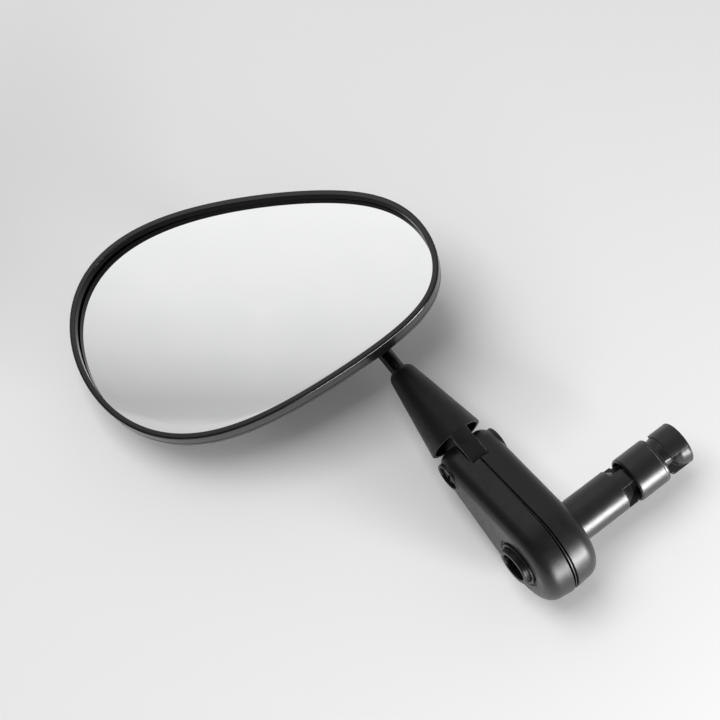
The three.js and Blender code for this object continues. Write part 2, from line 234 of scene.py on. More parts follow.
def combine(base, operation, tools):
    """Mesh of the base with each tool cut out of it, joined to it or shared with it."""
    body = bpy.data.objects.new("base", base)
    helpers = [bpy.data.objects.new("tool", tool) for tool in tools]
    for helper in [body, *helpers]:
        bpy.context.scene.collection.objects.link(helper)
    for helper in helpers:
        modifier = body.modifiers.new("boolean", "BOOLEAN")
        modifier.operation = operation
        modifier.solver = "EXACT"
        modifier.object = helper
    mesh = evaluated_mesh(body)
    for helper in [body, *helpers]:
        bpy.data.objects.remove(helper)
    return mesh


def cut(base, *tools):
    return combine(base, "DIFFERENCE", tools)


def join(base, *tools):
    return combine(base, "UNION", tools)


def shared(base, tool):
    return combine(base, "INTERSECT", [tool])


SHARP_ANGLE = math.radians(32)


def show(name, mesh, material, node, bevel=0.0):
    """Finishes a millimetre mesh as the shown piece for a CAD node: edges, shading, material and body."""
    mesh.transform(Matrix.Scale(MM, 4))
    piece = bpy.data.objects.new(name, mesh)
    bpy.context.scene.collection.objects.link(piece)
    if bevel:
        edges = piece.modifiers.new("edges", "BEVEL")
        edges.width = bevel * MM
        edges.segments = 2
        edges.limit_method = "ANGLE"
        edges.angle_limit = SHARP_ANGLE
        edges.use_clamp_overlap = True
        piece.data = evaluated_mesh(piece)
        piece.modifiers.clear()
    piece.data.shade_smooth()
    piece.data.set_sharp_from_angle(angle=SHARP_ANGLE)
    normals = piece.modifiers.new("flat faces stay flat", "WEIGHTED_NORMAL")
    normals.keep_sharp = True
    piece.data.materials.clear()
    piece.data.materials.append(material)
    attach(piece, BODY_OF[node])
    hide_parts(node)
    return piece


# Materials

NOISE_MIDDLE = (0.3, 0.7)
EDGE_ALIKENESS = (0.99, 0.8)
EDGE_WIDTH = 0.35
CLOUD_SIZE = 9
PATCH_SIZE = 1.5
SMUDGE_SIZE = 4


def node_adder(tree):
    """Function that adds a node to the tree, with its settings and the links into it."""

    def add(kind, links=(), **settings):
        node = tree.nodes.new(kind)
        for key, value in settings.items():
            if key in node.inputs:
                node.inputs[key].default_value = value
            else:
                setattr(node, key, value)
        for key, source in dict(links).items():
            tree.links.new(source, node.inputs[key])
        return node

    return add


def new_material(name, slot):
    """Material with its node tree, its Principled shader, object coordinates in metres and a node adder."""
    material = bpy.data.materials.new(name)
    material.use_nodes = True
    material["slot"] = slot
    tree = material.node_tree
    add = node_adder(tree)
    place = add("ShaderNodeTexCoord").outputs["Object"]
    return material, tree, tree.nodes["Principled BSDF"], place, add


def grain(add, place, size, detail=2.0, roughness=0.5):
    """Noise whose lumps are about the given number of millimetres across."""
    return add(
        "ShaderNodeTexNoise", {"Vector": place}, Scale=1 / (size * MM), Detail=detail, Roughness=roughness
    ).outputs["Fac"]


def remap(add, source, start, end, interpolation="LINEAR"):
    """Number that crosses the end span as the source crosses the start span."""
    node = add("ShaderNodeMapRange", {"Value": source}, interpolation_type=interpolation)
    for key, value in zip(("From Min", "From Max", "To Min", "To Max"), (*start, *end)):
        node.inputs[key].default_value = value
    return node.outputs["Result"]


def spread(add, source, low, high):
    """Number from low to high as the noise goes through its middle range."""
    return remap(add, source, NOISE_MIDDLE, (low, high))


def edge_wear_and_highlight(add, width):
    """1 on outer and inner edges and 0 on open faces: how far rounded normals turn from the true ones. It
    masks the edges that are painted paler, partly as wear and partly as a painted highlight.
    """
    soft = add("ShaderNodeBevel", samples=6, Radius=width * MM).outputs["Normal"]
    true = add("ShaderNodeNewGeometry").outputs["Normal"]
    alike = add("ShaderNodeVectorMath", {0: soft, 1: true}, operation="DOT_PRODUCT").outputs["Value"]
    return remap(add, alike, EDGE_ALIKENESS, (0, 1))


def mixed(add, factor, dark, pale):
    """Colour from dark to pale as the factor goes from 0 to 1."""
    colour = add("ShaderNodeMix", {"Factor": factor}, data_type="RGBA")
    colour.inputs["A"].default_value = (*dark, 1)
    colour.inputs["B"].default_value = (*pale, 1)
    return colour.outputs["Result"]


def add_bump(tree, shader, add, height, depth):
    """Bump of the given depth in millimetres on the shader's normal."""
    bump = add("ShaderNodeBump", {"Height": height}, Strength=1.0, Distance=depth * MM)
    tree.links.new(bump.outputs["Normal"], shader.inputs["Normal"])


def moulded(name, slot, dark, pale, roughness, texture_size, texture_depth, worn_and_lit, level):
    """Moulded black plastic: fine surface texture, cloudy gloss, and paler edges that are partly wear and
    partly a painted highlight.
    """
    material, tree, shader, place, add = new_material(name, slot)
    clouds = grain(add, place, CLOUD_SIZE, detail=4)
    colour = mixed(add, spread(add, clouds, 0, 1), dark, pale)
    # Paler edge colour: partly rubbed wear, partly a painted highlight where the edges catch the light.
    rubbed_and_lit = edge_wear_and_highlight(add, EDGE_WIDTH)
    patches = spread(add, grain(add, place, PATCH_SIZE), 0.2, 1)
    patchy = add("ShaderNodeMath", {0: rubbed_and_lit, 1: patches}, operation="MULTIPLY")
    edge_mix = {"Factor": patchy.outputs[0], "A": colour}
    edged = add("ShaderNodeMix", edge_mix, data_type="RGBA")
    edged.inputs["B"].default_value = (*worn_and_lit, 1)
    tree.links.new(edged.outputs["Result"], shader.inputs["Base Color"])
    smudges = spread(add, grain(add, place, SMUDGE_SIZE, detail=3), roughness - 0.04, roughness + 0.05)
    tree.links.new(smudges, shader.inputs["Roughness"])
    shader.inputs["Specular IOR Level"].default_value = level
    add_bump(tree, shader, add, grain(add, place, texture_size), texture_depth)
    return material


def metal(name, slot, dark, pale, roughness, stretch):
    """Metal with fine turning lines across the X axis and an uneven finish."""
    material, tree, shader, place, add = new_material(name, slot)
    lines = add("ShaderNodeMapping", {"Vector": place})
    lines.inputs["Scale"].default_value = (stretch, 1, 1)
    turning = grain(add, lines.outputs["Vector"], 1.2)
    colour = mixed(add, spread(add, grain(add, place, 2.5), 0, 1), dark, pale)
    tree.links.new(colour, shader.inputs["Base Color"])
    tree.links.new(spread(add, turning, roughness - 0.06, roughness + 0.08), shader.inputs["Roughness"])
    shader.inputs["Metallic"].default_value = 1.0
    add_bump(tree, shader, add, turning, 0.004)
    return material


def silvered():
    """Silvered glass: neutral with a trace of green, with the faintest haze and dust."""
    material, tree, shader, place, add = new_material("silvered_glass", "silvered_glass")
    haze = spread(add, grain(add, place, 22, detail=3), 0, 1)
    colour = mixed(add, haze, (0.915, 0.93, 0.925), (0.94, 0.95, 0.945))
    tree.links.new(colour, shader.inputs["Base Color"])
    tree.links.new(spread(add, grain(add, place, 6), 0.012, 0.03), shader.inputs["Roughness"])
    shader.inputs["Metallic"].default_value = 1.0
    return material


def foam():
    """Closed-cell foam: dark, dull and pitted."""
    material, tree, shader, place, add = new_material("foam", "foam")
    cells = grain(add, place, 0.5, detail=3)
    colour = mixed(add, spread(add, cells, 0, 1), (0.015, 0.015, 0.015), (0.045, 0.045, 0.045))
    tree.links.new(colour, shader.inputs["Base Color"])
    shader.inputs["Roughness"].default_value = 0.95
    add_bump(tree, shader, add, cells, 0.15)
    return material


BLACK = (0.004, 0.004, 0.0041)
PALER_BLACK = (0.007, 0.007, 0.0071)
# The worn colours paint the edges paler: partly wear, partly a painted highlight.
ARM_PLASTIC = moulded(
    "arm_plastic", "satin_plastic", BLACK, PALER_BLACK,
    roughness=0.36, texture_size=0.32, texture_depth=0.045, worn_and_lit=(0.08, 0.08, 0.08), level=0.52,
)
CONE_PLASTIC = moulded(
    "cone_plastic", "satin_plastic", BLACK, PALER_BLACK,
    roughness=0.44, texture_size=0.32, texture_depth=0.03, worn_and_lit=(0.25, 0.25, 0.25), level=0.42,
)
PLUG_PLASTIC = moulded(
    "plug_plastic", "satin_plastic", BLACK, PALER_BLACK,
    roughness=0.34, texture_size=0.45, texture_depth=0.025, worn_and_lit=(0.3, 0.3, 0.3), level=0.75,
)
GLOSS_PLASTIC = moulded(
    "gloss_plastic", "gloss_plastic", (0.003, 0.003, 0.0032), (0.006, 0.006, 0.0062),
    roughness=0.15, texture_size=3.0, texture_depth=0.01, worn_and_lit=(0.05, 0.05, 0.05), level=0.6,
)
BLACK_STEEL = metal("black_steel", "black_steel", (0.03, 0.03, 0.032), (0.06, 0.06, 0.062), 0.22, 6)
STEEL = metal("steel", "steel", (0.45, 0.45, 0.46), (0.62, 0.62, 0.63), 0.26, 6)
SILVERED_GLASS = silvered()
FOAM = foam()


# Arm: two moulded halves that meet at a seam, tapered from the plug to the hinge

HINGE_ARC_STEPS = 28
PLUG_ARC_STEPS = 64
FILLET_STEPS = 12
SEAM_GAP = 0.45
SEAM_ROUNDING = 0.25
DRAFT = 0.45
SPLAY = 1.3
LIP_SHIFT = 0.5
LIP_SINK = 1.0
SPLAY_TOP_Z = 30.0
ARM_FACE_X = 2 * SEAM_X
SLOT_ARC_STEPS = 40
SLOT_REACH = 16
SLOT_TOP = 30
FLANGE_ROOM_END_X = -8.6
FLANGE_ROOM_RADIUS = 11.4
BORE_SEGMENTS = 48


def arm_outline(inset):
    """Side outline of the arm as (y, z) points, drawn in by the inset: two arcs and their tangents."""
    lean = math.asin((PLUG_END_RADIUS - HINGE_END_RADIUS) / HINGE_Z)
    arcs = [
        (HINGE_END_RADIUS - inset, HINGE_Z, lean, math.pi - lean, HINGE_ARC_STEPS),
        (PLUG_END_RADIUS - inset, 0, math.pi - lean, 2 * math.pi + lean, PLUG_ARC_STEPS),
    ]
    points = []
    for radius, centre_z, start, end, steps in arcs:
        for k in range(steps + 1):
            angle = start + (end - start) * k / steps
            points.append((radius * math.cos(angle), centre_z + radius * math.sin(angle)))
    return points


def splay_share(z):
    """How far the seam has opened, from 0 above the hinge end to 1 at the plug end."""
    return min(max((SPLAY_TOP_Z - z) / (SPLAY_TOP_Z + PLUG_END_RADIUS), 0), 1)


def arm_shell(face_x, seam_x, splay=0.0):
    """Solid half of the arm: filleted and drafted at its outer face, with a small round at the seam.

    The splay opens the seam towards the plug end.
    """
    outward = math.copysign(1, face_x - seam_x)
    profile = []
    for k in range(FILLET_STEPS + 1):
        angle = math.pi / 2 * k / FILLET_STEPS
        inset = DRAFT + (ARM_FILLET - DRAFT) * (1 - math.sin(angle))
        profile.append((face_x - outward * ARM_FILLET * (1 - math.cos(angle)), inset, 0))
    for k in range(CORNER_STEPS + 1):
        angle = math.pi / 2 * k / CORNER_STEPS
        x = seam_x + outward * SEAM_ROUNDING * (1 - math.sin(angle))
        profile.append((x, SEAM_ROUNDING * (1 - math.cos(angle)), splay))
    return skin(
        [
            [(x + outward * opening * splay_share(z), y, z) for y, z in arm_outline(inset)]
            for x, inset, opening in profile
        ]
    )


def tongue_slot():
    """Slot for the knuckle's tongue over its whole swing: round the hinge below, and widening above it."""
    radius = TONGUE_RADIUS + 0.4
    half = TONGUE_THICKNESS / 2 + GAP
    outline = []
    for k in range(SLOT_ARC_STEPS + 1):
        angle = -math.pi + FOLD_ANGLE + (math.pi - 2 * FOLD_ANGLE) * k / SLOT_ARC_STEPS
        outline.append((radius * math.cos(angle), radius * math.sin(angle)))
    arc_end_y = radius * math.cos(FOLD_ANGLE)
    arc_end_z = -radius * math.sin(FOLD_ANGLE)
    rise = (SLOT_REACH - arc_end_y) / math.tan(FOLD_ANGLE) + arc_end_z
    outline += [(SLOT_REACH, rise), (SLOT_REACH, SLOT_TOP), (-SLOT_REACH, SLOT_TOP), (-SLOT_REACH, rise)]
    return about_hinge(prism_x(outline, SEAM_X - half, SEAM_X + half))


def pocket(face_x, floor_x, radius, flare, segments=FULL_TURN):
    """Cutting tool for a round pocket whose mouth flares where it meets the face."""
    outward = math.copysign(1, face_x - floor_x)
    outside_x = face_x + outward * 3
    return turned(
        [
            (floor_x, 0),
            (floor_x, radius),
            (face_x - outward * flare, radius, 0.15),
            (face_x, radius + flare, 0.15),
            (outside_x, radius + flare * 1.4),
            (outside_x, 0),
        ],
        segments,
    )


def hinge_bore():
    return about_hinge(rod(*THROUGH, HINGE_BORE_RADIUS, segments=BORE_SEGMENTS))


def arm_hollows():
    """What is cut from both halves: tongue slot, washer seats, hinge bore and the flange's room."""
    seat = TONGUE_THICKNESS / 2 + GAP + (WASHER_HIGH.x - WASHER_LOW.x) + GAP
    return [
        tongue_slot(),
        about_hinge(rod(SEAM_X - seat, SEAM_X + seat, HINGE_WASHER_RADIUS + GAP)),
        hinge_bore(),
        rod(TUBE_LOW.x - GAP, FLANGE_ROOM_END_X, FLANGE_ROOM_RADIUS),
    ]


def left_arm():
    boss_face = ARM_FACE_X - LEFT_BOSS_PROUD
    boss = about_hinge(rod(boss_face, ARM_FACE_X + BOSS_DEPTH, BOSS_RADIUS, rounding=0.4))
    return cut(
        join(arm_shell(ARM_FACE_X, SEAM_X - SEAM_GAP / 2, SPLAY), boss),
        *arm_hollows(),
        rod(THROUGH[0], SEAM_X + 2, COLLAR_RADIUS + GAP),
        pocket(ARM_FACE_X, RECESS_FLOOR_X, RECESS_RADIUS, flare=0.3),
        about_hinge(pocket(boss_face, SCREW_FLOOR_X, SCREW_HEAD_RADIUS + GAP, flare=0.25)),
    )


def seam_lip():
    """Thin rib round the right half, just below the surface, that shows where the seam is open."""
    top = 0.55
    shoulder = 1.4
    inner = 2.2
    x0 = SEAM_X - 0.1
    x1 = SEAM_X + 0.3
    root = SEAM_X + 1.5
    section = [
        (x0, inner),
        (x0, top, 0.1),
        (x1, top, 0.1),
        (x1, shoulder),
        (root, shoulder),
        (root, inner),
    ]
    rings = []
    for x, inset in rounded(section, closed=True):
        ring_points = []
        for shallow, deep in zip(arm_outline(inset), arm_outline(inset + LIP_SINK)):
            share = splay_share(shallow[1])
            y, z = Vector(deep).lerp(Vector(shallow), share)
            ring_points.append((x - LIP_SHIFT * share, y, z))
        rings.append(ring_points)
    return skin(rings, closed=True)


def right_arm():
    nut_floor = -3.7
    nut_room_radius = 4.9
    boss = about_hinge(rod(-BOSS_DEPTH, RIGHT_BOSS_PROUD, BOSS_RADIUS, rounding=0.4))
    return cut(
        join(arm_shell(0, SEAM_X + SEAM_GAP / 2), boss, seam_lip()),
        *arm_hollows(),
        pocket(0, SEAM_X - 1, TUBE_RADIUS + GAP, flare=0.3),
        about_hinge(rod(nut_floor, THROUGH[1], nut_room_radius, segments=6)),
    )


show("arm_left_shell", left_arm(), ARM_PLASTIC, "arm_left_half", bevel=0.12)
show("arm_right_shell", right_arm(), ARM_PLASTIC, "arm_right_half", bevel=0.12)


# Hinge: screw with a cross recess, hex nut and two washers

def cross_slots(face, floor, width, reach):
    """Two crossing blocks that cut a screw's recess, from just outside its face to the floor."""
    return [block((face - 1, -a, -b), (floor, a, b)) for a, b in ((width, reach), (reach, width))]


def hinge_screw():
    face = SCREW_LOW.x
    head_back = face + 2.0
    crown_radius = 2.4
    shank = 2.5
    blank = turned(
        [
            (face, 0),
            (face, crown_radius, 0.6),
            (face + 0.8, SCREW_HEAD_RADIUS, 0.3),
            (head_back, SCREW_HEAD_RADIUS),
            (head_back, shank),
            (SCREW_HIGH.x, shank, 0.3),
            (SCREW_HIGH.x, 0),
        ]
    )
    return cut(blank, *cross_slots(face, floor=face + 1.2, width=0.5, reach=2.2))


def hex_nut():
    low, high = box_mm("hinge_nut")
    corner = max(high.z - low.z, high.y - low.y) / 2
    chamfer = 0.35
    thread_radius = 2.7
    cone = turned(
        [
            (low.x, 0),
            (low.x, corner - 0.5),
            (low.x + chamfer, corner + 0.1),
            (high.x - chamfer, corner + 0.1),
            (high.x, corner - 0.5),
            (high.x, 0),
        ]
    )
    chamfered = shared(rod(low.x, high.x, corner, segments=6), cone)
    return cut(chamfered, pocket(high.x, low.x - 1, thread_radius, flare=0.3, segments=64))


show("hinge_screw_cross_head", about_hinge(hinge_screw()), BLACK_STEEL, "hinge_screw", bevel=0.08)
show("hinge_hex_nut", about_hinge(hex_nut()), BLACK_STEEL, "hinge_nut", bevel=0.08)
for side in ("left", "right"):
    low, high = box_mm(f"hinge_washer_{side}")
    washer = about_hinge(ring(low.x, high.x, HINGE_BORE_RADIUS, HINGE_WASHER_RADIUS))
    show(f"hinge_thin_washer_{side}", washer, STEEL, f"hinge_washer_{side}")


# Plug: tube, rings at the arm, sleeve and wedge nut

POCKET_HALF_ANGLE = math.radians(37)
POCKET_STEPS = 16
POCKET_OUTER_RADIUS = 12
TAPER_WIDE_RADIUS = 7.3
TAPER_NARROW_RADIUS = 5.6


def side_pocket(angle, floor, end):
    """Tool for one pocket in a plug piece's side, turned about its axis.

    The floor is a line of (x, radius) points, and the tool reaches out past the surface from there.
    """
    walls = [(end, POCKET_OUTER_RADIUS), (floor[0][0], POCKET_OUTER_RADIUS)]
    section = rounded([(*point, 0.5) for point in floor] + walls, closed=True)
    rings = []
    for k in range(POCKET_STEPS + 1):
        turn = angle + POCKET_HALF_ANGLE * (2 * k / POCKET_STEPS - 1)
        rings.append([(x, radius * math.cos(turn), radius * math.sin(turn)) for x, radius in section])
    return skin(rings)


def plug_tube():
    nose_x = 25.2
    counterbore_x = -4.8
    counterbore = BORE_RADIUS + 0.15
    flange_x = -10.2
    bore = BOLT_RADIUS + 0.4
    body = turned(
        [
            (TUBE_LOW.x, counterbore, 0.2),
            (TUBE_LOW.x, TUBE_HIGH.z, 0.3),
            (flange_x, TUBE_HIGH.z, 0.3),
            (flange_x, TUBE_RADIUS, 0.3),
            (nose_x, TUBE_RADIUS - 0.1, 0.3),
            (nose_x, TAPER_WIDE_RADIUS),
            (TUBE_HIGH.x, TAPER_NARROW_RADIUS, 0.4),
            (TUBE_HIGH.x, bore, 0.2),
            (counterbore_x, bore),
            (counterbore_x, counterbore),
        ]
    )
    end = TUBE_HIGH.x + 1
    deepest = 3.9
    floor = [(20.8, TUBE_RADIUS - 0.7), (24.8, 5.0), (26.2, deepest), (end, deepest)]
    return cut(body, *[side_pocket(angle, floor, end) for angle in TUBE_POCKET_ANGLES])


def pivot_collar():
    return turned(
        [
            (COLLAR_LOW.x, BORE_RADIUS, 0.5),
            (COLLAR_LOW.x, COLLAR_RADIUS, 0.6),
            (COLLAR_HIGH.x, COLLAR_RADIUS, 0.2),
            (COLLAR_HIGH.x, BORE_RADIUS, 0.2),
        ]
    )


def plain_ring(node, inner, rounding):
    low, high = box_mm(node)
    return ring(low.x, high.x, inner, high.z, rounding)


def stepped_washer():
    """Washer that fills the recess, with a raised rim round the lock ring."""
    low, high = box_mm("pivot_washer")
    inner = COLLAR_RADIUS + GAP
    outer = RECESS_RADIUS - 0.05
    rim_x = low.x - 0.6
    rim_inner = 8.75
    return turned(
        [
            (low.x, inner, 0.15),
            (low.x, rim_inner - 0.15, 0.1),
            (rim_x, rim_inner, 0.2),
            (rim_x, outer, 0.2),
            (high.x, outer),
            (high.x, inner, 0.15),
        ]
    )


def expander_sleeve():
    """Ring with chamfered ends and a fine line round it, double-tapered inside for its two wedges."""
    middle = (SLEEVE_LOW.x + SLEEVE_HIGH.x) / 2
    line_x = SLEEVE_HIGH.x - 1.7
    line_depth = 0.12
    line_half_width = 0.15
    chamfer = 0.5
    radius = SLEEVE_HIGH.z
    mouth = 7.7
    waist = 6.1
    return turned(
        [
            (SLEEVE_LOW.x, mouth, 0.1),
            (SLEEVE_LOW.x, radius - chamfer, 0.2),
            (SLEEVE_LOW.x + chamfer, radius, 0.3),
            (line_x, radius),
            (line_x + line_half_width, radius - line_depth),
            (line_x + 2 * line_half_width, radius),
            (SLEEVE_HIGH.x - chamfer, radius, 0.3),
            (SLEEVE_HIGH.x, radius - chamfer, 0.2),
            (SLEEVE_HIGH.x, mouth, 0.1),
            (middle, waist),
        ]
    )


def wedge_nut():
    shoulder_x = 41.9
    bore = BOLT_RADIUS + 0.15
    radius = NUT_HIGH.z
    body = turned(
        [
            (NUT_LOW.x, bore, 0.2),
            (NUT_LOW.x, TAPER_NARROW_RADIUS, 0.4),
            (shoulder_x, TAPER_WIDE_RADIUS),
            (shoulder_x, radius, 0.2),
            (NUT_HIGH.x, radius, 0.7),
            (NUT_HIGH.x, bore, 0.3),
        ]
    )
    start = shoulder_x - 3
    end = NUT_HIGH.x - 0.5
    deepest = 4.2
    floor = [(start, deepest), (43.2, deepest), (44.6, 6.1), (46.2, 7.2), (48, 7.7), (end, 8.0)]
    return cut(body, *[side_pocket(angle, floor, end) for angle in NUT_POCKET_ANGLES])


show("plug_tube_body", plug_tube(), PLUG_PLASTIC, "plug_tube", bevel=0.12)
show("pivot_collar_bush", pivot_collar(), ARM_PLASTIC, "pivot_collar")
show("pivot_stepped_washer", stepped_washer(), ARM_PLASTIC, "pivot_washer")
lock_ring = plain_ring("lock_ring", COLLAR_RADIUS + GAP, 0.3)
show("pivot_lock_ring", lock_ring, ARM_PLASTIC, "lock_ring")
friction_ring = plain_ring("friction_ring", TUBE_RADIUS + GAP, 0.2)
show("pivot_friction_ring", friction_ring, BLACK_STEEL, "friction_ring")
show("sleeve_ring", expander_sleeve(), PLUG_PLASTIC, "expander_sleeve")
show("wedge_nut_end", wedge_nut(), PLUG_PLASTIC, "wedge_nut", bevel=0.12)


# Bolt through the plug

def plug_bolt():
    """Bolt with a hexagonal socket in its head."""
    head_back = -6.4
    socket = 2.9
    socket_floor = BOLT_LOW.x + 3.4
    blank = turned(
        [
            (BOLT_LOW.x, 0),
            (BOLT_LOW.x, BOLT_HIGH.z, 0.4),
            (head_back, BOLT_HIGH.z, 0.2),
            (head_back, BOLT_RADIUS),
            (BOLT_HIGH.x, BOLT_RADIUS, 0.5),
            (BOLT_HIGH.x, 0),
        ]
    )
    return cut(blank, rod(BOLT_LOW.x - 1, socket_floor, socket, segments=6))


show("plug_socket_bolt", plug_bolt(), BLACK_STEEL, "plug_bolt", bevel=0.1)
show("plug_bolt_washer", plain_ring("bolt_washer", BOLT_RADIUS + GAP, 0.15), STEEL, "bolt_washer")


# Knuckle: cone with a tongue between the arm's halves

def knuckle():
    """Hollow-skirted cone on a rounded tongue, with a neck that flares between the two."""
    base = 10.3
    tip = 4.9
    cone = turned(
        [
            (CONE_BASE_Z, 0),
            (CONE_BASE_Z, base, 0.35),
            (CONE_TIP_Z - 1.6, tip, 1.2),
            (CONE_TIP_Z, tip - 1.6, 0.9),
            (CONE_TIP_Z, 0),
        ]
    )
    half = TONGUE_THICKNESS / 2
    top = CONE_BASE_Z + 3.2
    neck = block((SEAM_X - half, -TONGUE_RADIUS, HINGE_Z), (SEAM_X + half, TONGUE_RADIUS, top))
    disc = about_hinge(rod(SEAM_X - half, SEAM_X + half, TONGUE_RADIUS))
    flare = turned(
        [
            (HINGE_Z, 0),
            (HINGE_Z, TONGUE_RADIUS - 0.3),
            (HINGE_Z + 3.5, TONGUE_RADIUS, 2),
            (CONE_BASE_Z, base),
            (top, base - 0.6),
            (top, 0),
        ]
    )
    wide = 20
    slab = block((SEAM_X - half, -wide, HINGE_Z - 1), (SEAM_X + half, wide, CONE_TIP_Z))
    roof = CONE_BASE_Z + 3
    below = CONE_BASE_Z - 1
    hollow = turned([(below, 0), (below, base - 1), (roof, base - 1.6), (roof, 0)])
    bore = rod(CONE_TIP_Z - 22, CONE_TIP_Z + 1, ROD_RADIUS + 0.1)
    solid = join(cut(about_stem(cone), about_stem(hollow)), neck, disc, shared(about_stem(flare), slab))
    return cut(solid, about_stem(bore), hinge_bore())


show("knuckle_cone", knuckle(), CONE_PLASTIC, "hinge_cone", bevel=0.15)


# Stem: rod that ends in the ball

def stem():
    neck = 2.4
    ball_bottom = BALL_CENTRE.z - BALL_RADIUS
    corners = [
        (STEM_LOW.z, 0),
        (STEM_LOW.z, ROD_RADIUS, 0.3),
        (ball_bottom - 1.2, ROD_RADIUS, 0.3),
        (ball_bottom - 0.4, neck),
    ]
    steps = 24
    start = math.asin(neck / BALL_RADIUS)
    for k in range(steps + 1):
        angle = start + (math.pi - start) * k / steps
        corners.append((BALL_CENTRE.z - BALL_RADIUS * math.cos(angle), BALL_RADIUS * math.sin(angle)))
    return turned(corners[:-1] + [(STEM_HIGH.z, 0)])


show("stem_rod_and_ball", about_stem(stem()), BLACK_STEEL, "ball_stem")


# Mirror head, in its own axes: origin at the ball, x along the long side, y to the back

HEAD = (
    Matrix.Translation(BALL_CENTRE)
    @ Matrix.Rotation(math.radians(-9.7), 4, "Z")
    @ Matrix.Rotation(math.radians(-10.2), 4, "X")
    @ Matrix.Rotation(math.radians(23.8), 4, "Y")
)
HEAD_TURN_BACK = HEAD.to_3x3().inverted().to_4x4()
HEAD_CENTRE = (-22.9, 2.4)
RIM_HALF_LENGTH = 66.2
RIM_HALF_WIDTH = 42.6
OUTLINE_POINTS = 180
RIM_FRONT_Y = -19.8
RIM_DEPTH = 5.4
GLASS_INSET = 2.0
GLASS_CENTRE_Y = RIM_FRONT_Y + 2.6
GLASS_THICKNESS = 1.6
GLASS_CURVE_RADIUS = 1500.0
DOME_Y = -7.8
WALL = 1.6
SOCKET_SCREWS = (-10, 10)


def rim_point(angle):
    """Egg-shaped outline of the rim about its own centre: an ellipse with waves of two and three a turn."""
    x = (
        RIM_HALF_LENGTH * math.cos(angle)
        - 6 * math.cos(2 * angle)
        + 0.8 * math.sin(2 * angle)
        - 0.9 * math.sin(3 * angle)
    )
    z = (
        RIM_HALF_WIDTH * math.sin(angle)
        - 7.9 * math.sin(2 * angle)
        + 2.9 * math.sin(3 * angle)
        - 0.6 * math.cos(3 * angle)
    )
    return Vector((x, z))


def rim_ring(inset, depth, scale=1.0):
    """Rim outline drawn in by an inset and scaled about its centre, at a depth or a function of place."""
    nearby = 0.01
    points = []
    for k in range(OUTLINE_POINTS):
        angle = 2 * math.pi * k / OUTLINE_POINTS
        along = (rim_point(angle + nearby) - rim_point(angle - nearby)).normalized()
        point = (rim_point(angle) + Vector((-along.y, along.x)) * inset) * scale
        y = depth(point) if callable(depth) else depth
        points.append((HEAD_CENTRE[0] + point.x, y, HEAD_CENTRE[1] + point.y))
    return points


def rim_body():
    """Raised lip that holds the glass: rounded in front, with a fine step outside and a seat inside."""
    front = RIM_FRONT_Y
    back = RIM_FRONT_Y + RIM_DEPTH
    lip_width = 2.2
    wall = 1.1
    step = 0.25
    seat_y = front + 3.0
    section = [
        (0.0, front, 0.75),
        (lip_width, front, 0.3),
        (lip_width, seat_y),
        (wall, seat_y),
        (wall, back, 0.1),
        (step, back, 0.2),
        (step, front + 3.2, 0.1),
        (0.0, seat_y, 0.2),
    ]
    return skin([rim_ring(inset, depth) for inset, depth in rounded(section, closed=True)], closed=True)


def bowl(grow):
    """Outside of the housing, or its inside when grown inwards: a wall that turns into a shallow dome."""
    start = RIM_FRONT_Y + RIM_DEPTH + GAP
    dome_inset = 8.0
    dome_edge_y = -8.4
    section = [
        (0.25, start if grow == 0 else start - 1),
        (0.45, -12.0, 1.2),
        (1.6, -10.3, 1.0),
        (4.0, -9.1, 1.5),
        (dome_inset, dome_edge_y),
    ]
    rings = []
    for k, (inset, depth) in enumerate(rounded(section, closed=False)):
        rise = grow if k > 0 else 0
        rings.append(rim_ring(inset + grow, depth - rise))
    for scale, rise in ((0.9, 0.25), (0.8, 0.45), (0.72, 0.6), (0.4, 0.6)):
        rings.append(rim_ring(dome_inset + grow, dome_edge_y + rise - grow, scale))
    return skin(rings)


def upright(mesh, x):
    """A body turned about X, laid along the head's y axis."""
    return moved(mesh, Matrix.Translation((x, 0, 0)) @ Matrix.Rotation(math.pi / 2, 4, "Z"))


def screw_holes(radius):
    """Tools for the two holes that the socket's screws go through."""
    return [upright(rod(-20, 0, radius, segments=BORE_SEGMENTS), x) for x in SOCKET_SCREWS]


def housing():
    return cut(bowl(0), bowl(WALL), *screw_holes(1.7))


def sheet(inset, front_y, thickness, steps):
    """Convex sheet inside the rim, made of rings from its middle to its edge, front and back."""

    def bulge(point):
        return front_y + point.length_squared / (2 * GLASS_CURVE_RADIUS)

    front = [rim_ring(inset, bulge, (k + 1) / steps) for k in range(steps)]
    back = [[(x, y + thickness, z) for x, y, z in points] for points in reversed(front)]
    return skin(front + back)


def head_piece(name, mesh, material, node, bevel=0.0):
    return show(name, moved(mesh, HEAD), material, node, bevel)


head_piece("rim_lip", rim_body(), GLOSS_PLASTIC, "mirror_rim")
head_piece("housing_bowl", housing(), GLOSS_PLASTIC, "mirror_housing", bevel=0.1)
glass = sheet(inset=GLASS_INSET, front_y=GLASS_CENTRE_Y, thickness=GLASS_THICKNESS, steps=12)
head_piece("glass_sheet", glass, SILVERED_GLASS, "mirror_glass", bevel=0.15)
pad = sheet(inset=14, front_y=GLASS_CENTRE_Y + GLASS_THICKNESS + GAP, thickness=1, steps=4)
head_piece("glass_foam_pad", pad, FOAM, "glass_pad", bevel=0.2)


# Ball socket on the housing's back. Its cup and cap are turned about the stem's direction.

CAVITY_RADIUS = BALL_RADIUS + 0.2
SPLIT_Z = -0.45


def stem_aligned(mesh):
    """A body turned about X, stood along the stem's direction in the head's own axes."""
    return moved(mesh, HEAD_TURN_BACK @ ABOUT_Z)


def cavity():
    """Ball-shaped tool with room for the stem's ball."""
    steps = 32
    corners = [(-CAVITY_RADIUS, 0)]
    for k in range(1, steps):
        angle = math.pi * k / steps
        corners.append((-CAVITY_RADIUS * math.cos(angle), CAVITY_RADIUS * math.sin(angle)))
    corners.append((CAVITY_RADIUS, 0))
    return turned(corners, segments=64)


